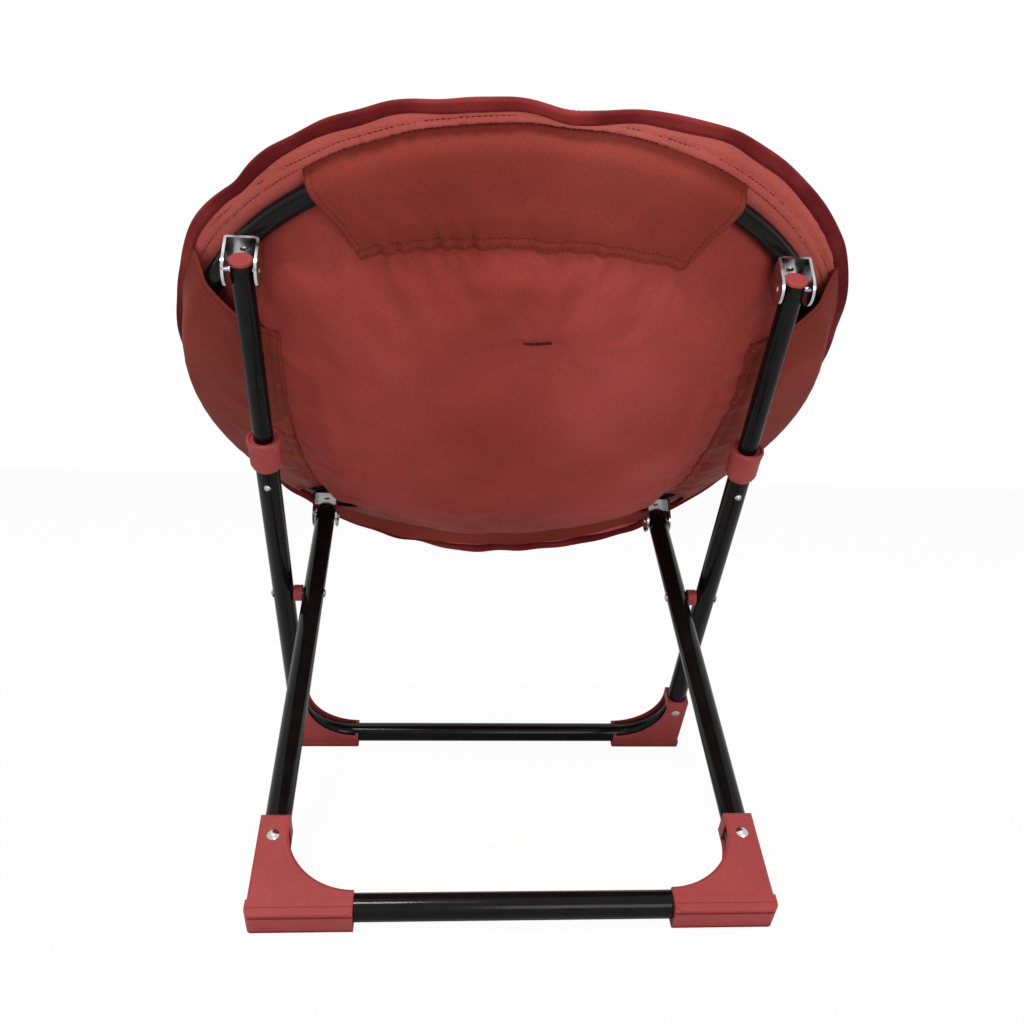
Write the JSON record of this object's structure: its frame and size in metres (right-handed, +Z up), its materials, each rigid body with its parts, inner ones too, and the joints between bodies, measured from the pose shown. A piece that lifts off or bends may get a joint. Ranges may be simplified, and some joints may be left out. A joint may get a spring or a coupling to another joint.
{
  "type": "folding saucer chair",
  "caption": "Child's folding saucer chair: round padded seat on a tube hoop, carried by crossed tube frames with moulded corner feet and snap-locked telescopic legs",
  "frame": {"origin": "on the floor, under the middle of the chair's overall box", "axes": "+Z up, +Y toward the back of the chair, +X toward the sitter's left"},
  "size_m": [0.548, 0.4814, 0.5468],
  "materials": {
    "black_tube": "glossy black powder coat",
    "red_plastic": "satin moulded red plastic",
    "bright_steel": "bright plated steel",
    "spring_steel": "plain spring steel",
    "seat_cloth": "red woven polyester over wadding",
    "binding_tape": "dark red woven binding tape"
  },
  "bodies": {
    "outer_frame": {"outer_frame_tube": "black_tube", "front_left_foot": "red_plastic", "front_right_foot": "red_plastic", "front_foot_rivets": "bright_steel", "left_collar": "red_plastic", "right_collar": "red_plastic", "pivot_spacers": "red_plastic", "outer_pivot_rivets": "bright_steel"},
    "upper_legs": {"left_upper_leg": "black_tube", "right_upper_leg": "black_tube", "upper_leg_plugs": "red_plastic", "snap_springs": "spring_steel"},
    "left_button": {"left_snap_button": "bright_steel"},
    "right_button": {"right_snap_button": "bright_steel"},
    "seat": {"hoop_tube_ring": "black_tube", "rear_left_bracket": "bright_steel", "rear_right_bracket": "bright_steel", "front_left_bracket": "bright_steel", "front_right_bracket": "bright_steel", "bracket_rivets": "bright_steel", "rear_bracket_pins": "bright_steel", "front_bracket_pins": "bright_steel", "seat_pad": "seat_cloth", "rim_binding": "binding_tape", "rear_pocket": "seat_cloth", "front_pocket": "seat_cloth", "left_side_sleeve": "seat_cloth", "right_side_sleeve": "seat_cloth"},
    "inner_frame": {"inner_frame_tube": "black_tube", "rear_left_foot": "red_plastic", "rear_right_foot": "red_plastic", "rear_foot_rivets": "bright_steel", "inner_leg_plugs": "red_plastic", "inner_pivot_rivets": "bright_steel"}
  },
  "joints": [
    {"name": "leg_slide", "type": "slide", "parent": "outer_frame", "child": "upper_legs", "axis": [0, -0.6184, -0.7859], "range_m": [0, 0.0875], "deforming": ["left_snap_button", "right_snap_button"]},
    {"name": "seat_fold", "type": "hinge", "parent": "upper_legs", "child": "seat", "pos_m": [0, 0.15055, 0.44806], "axis": [1, 0, 0], "range_deg": [0, 18.8]},
    {"name": "frame_fold", "type": "hinge", "parent": "seat", "child": "inner_frame", "pos_m": [0, -0.15277, 0.25105], "axis": [1, 0, 0], "range_deg": [0, 66.2], "deforming": ["seat_pad", "rim_binding", "rear_pocket", "front_pocket", "left_side_sleeve", "right_side_sleeve"]},
    {"name": "left_button_press", "type": "slide", "parent": "upper_legs", "child": "left_button", "axis": [0, -0.7859, 0.6184], "range_m": [0, 0.0041], "stiffness_N_per_m": 2000, "deforming": ["snap_springs"]},
    {"name": "right_button_press", "type": "slide", "parent": "upper_legs", "child": "right_button", "axis": [0, -0.7859, 0.6184], "range_m": [0, 0.0041], "stiffness_N_per_m": 2000}
  ],
  "couplings": [
    {"joint": "leg_slide", "follows": "frame_fold", "m_per_rad": 0.075721},
    {"joint": "seat_fold", "follows": "frame_fold", "ratio": 0.2839}
  ]
}
